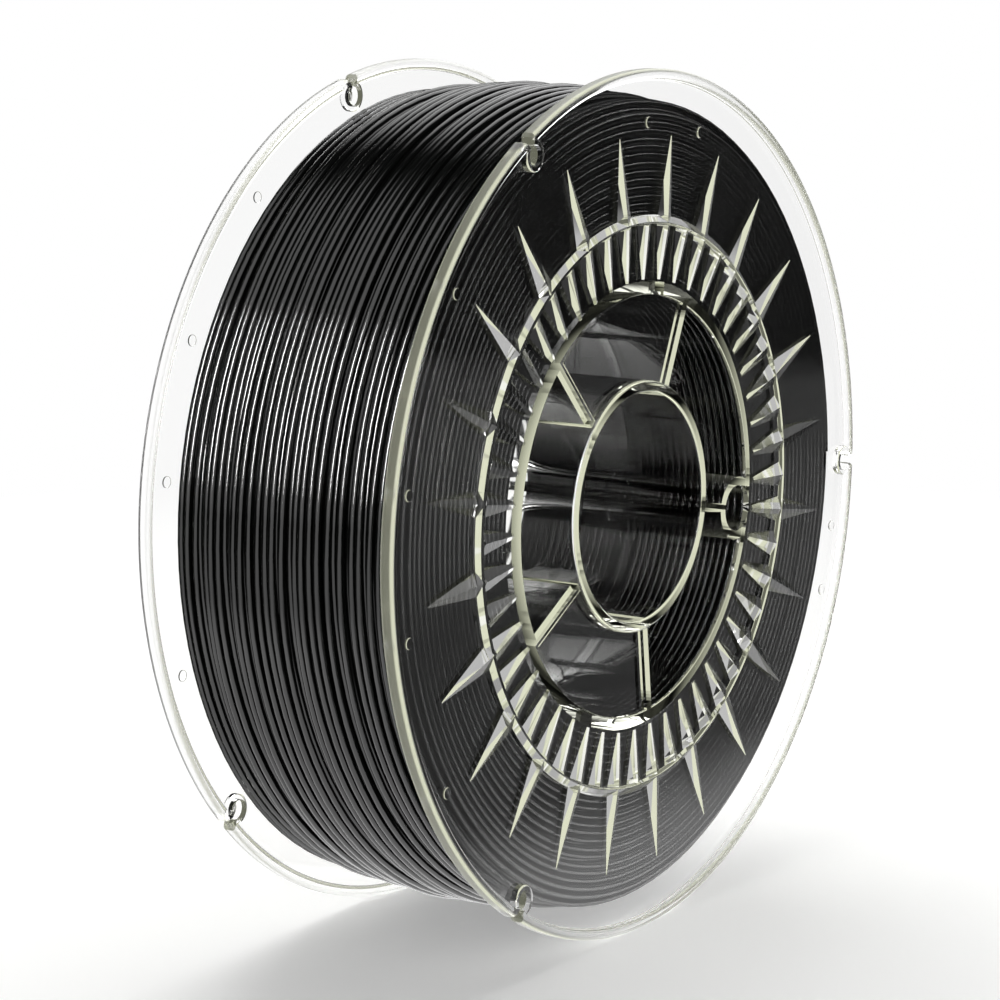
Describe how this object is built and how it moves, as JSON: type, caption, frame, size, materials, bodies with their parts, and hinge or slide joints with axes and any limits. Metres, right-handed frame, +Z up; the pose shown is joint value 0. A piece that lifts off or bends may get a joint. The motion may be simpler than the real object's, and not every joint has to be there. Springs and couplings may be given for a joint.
{
  "type": "filament spool",
  "caption": "Clear plastic spool with a sunburst moulded in each flange, wound full of black printer filament, standing on its rims; a wide bore takes the holder's spindle.",
  "frame": {"origin": "on the axis of the spindle bore, midway between the two flanges", "axes": "+Y along the bore from the front flange to the rear flange, +Z up as the spool stands on its rims, +X to the right seen from the front"},
  "size_m": [0.2, 0.068, 0.2],
  "materials": {
    "clear_plastic": "clear polystyrene, glossy, with a faint yellow-green edge",
    "filament": "black, smooth and glossy"
  },
  "bodies": {
    "root": {"front_half": "clear_plastic", "rear_half": "clear_plastic", "filament_core": "filament", "filament_outer_turns": "filament"}
  },
  "joints": []
}
